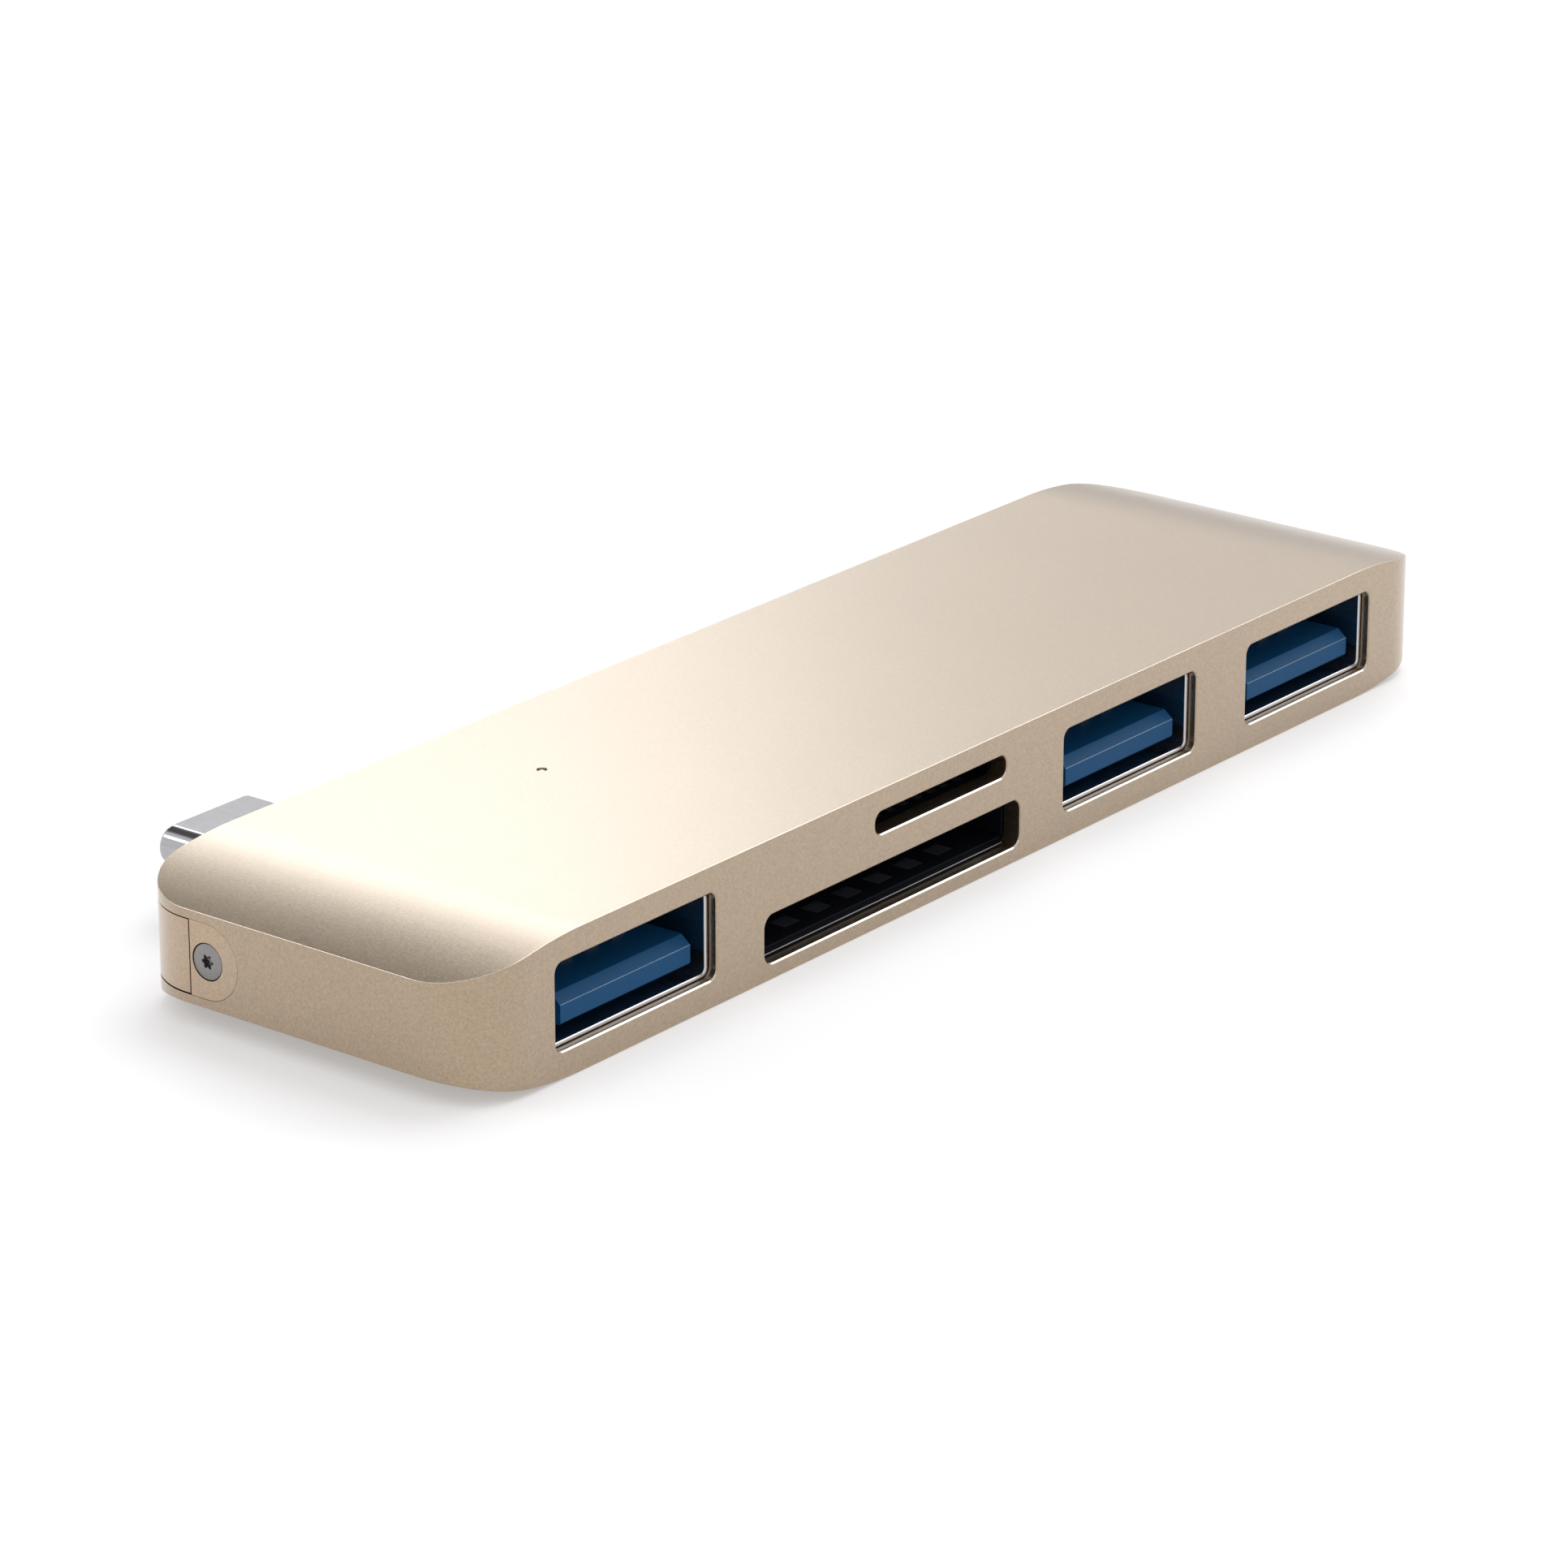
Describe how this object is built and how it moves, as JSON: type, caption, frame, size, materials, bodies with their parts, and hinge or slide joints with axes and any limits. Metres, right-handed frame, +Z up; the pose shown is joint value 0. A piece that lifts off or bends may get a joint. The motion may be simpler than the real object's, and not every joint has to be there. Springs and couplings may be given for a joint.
{
  "type": "usb hub",
  "caption": "Slim bar-shaped aluminium laptop hub with USB-A ports, card slots and an adjustable USB-C plug at the rear.",
  "frame": {"origin": "centre of the flat underside", "axes": "+X along the length, towards the end far from the plug; +Y out of the rear face, along the USB-C plug; +Z up"},
  "size_m": [0.095, 0.034, 0.0086],
  "materials": {
    "anodised": "bead-blasted, champagne anodised, with bright cut edges",
    "nickel_steel": "nickel plated sheet",
    "dark_steel": "plain machined steel",
    "blue_plastic": "moulded, satin",
    "black_plastic": "glass-filled, fine grain",
    "gold_contacts": "gold plated copper alloy",
    "circuit_board": "green solder mask",
    "ceramic": "fired, with tinned ends",
    "ferrite_grey": "pressed ferrite",
    "thermal_silicone": "soft silicone",
    "clear_plastic": "clear moulded",
    "flex_film": "amber polyimide film"
  },
  "bodies": {
    "hub_body": {"housing": "anodised", "base_cover": "anodised", "main_board": "circuit_board", "usb_a_shield_1": "nickel_steel", "usb_a_insulator_1": "blue_plastic", "usb_a_contacts_1": "gold_contacts", "usb_a_shield_2": "nickel_steel", "usb_a_insulator_2": "blue_plastic", "usb_a_contacts_2": "gold_contacts", "usb_a_shield_3": "nickel_steel", "usb_a_insulator_3": "blue_plastic", "usb_a_contacts_3": "gold_contacts", "sd_socket_base": "black_plastic", "sd_socket_cover": "nickel_steel", "sd_contacts": "gold_contacts", "microsd_socket_base": "black_plastic", "microsd_socket_cover": "nickel_steel", "microsd_contacts": "gold_contacts", "hub_controller_chip": "black_plastic", "card_reader_chip": "black_plastic", "clock_crystal": "nickel_steel", "power_inductor": "ferrite_grey", "thermal_pad": "thermal_silicone", "status_led": "clear_plastic", "light_pipe": "clear_plastic", "flex_connector": "black_plastic", "flex_cable": "flex_film", "capacitor_1": "ceramic", "capacitor_2": "ceramic", "capacitor_3": "ceramic", "capacitor_4": "ceramic", "board_screw_1": "nickel_steel", "board_screw_2": "nickel_steel", "board_screw_3": "nickel_steel", "clamp_plate": "anodised", "clamp_nut": "dark_steel"},
    "plug_carriage": {"plug_block": "anodised", "carriage_arm": "dark_steel", "plug_shell": "nickel_steel", "plug_insulator": "black_plastic", "plug_contacts_upper": "gold_contacts", "plug_contacts_lower": "gold_contacts", "plug_latch": "dark_steel", "plug_overmould": "black_plastic", "plug_board": "circuit_board"},
    "clamp_screw_body": {"clamp_screw": "dark_steel"}
  },
  "joints": [
    {"name": "plug_slide", "type": "slide", "parent": "hub_body", "child": "plug_carriage", "axis": [0, 1, 0], "range_m": [0, 0.002]},
    {"name": "clamp_screw_turn", "type": "hinge", "parent": "hub_body", "child": "clamp_screw_body", "pos_m": [-0.0475, 0.00672, 0.0043], "axis": [-1, 0, 0], "range_deg": [0, 360]}
  ]
}
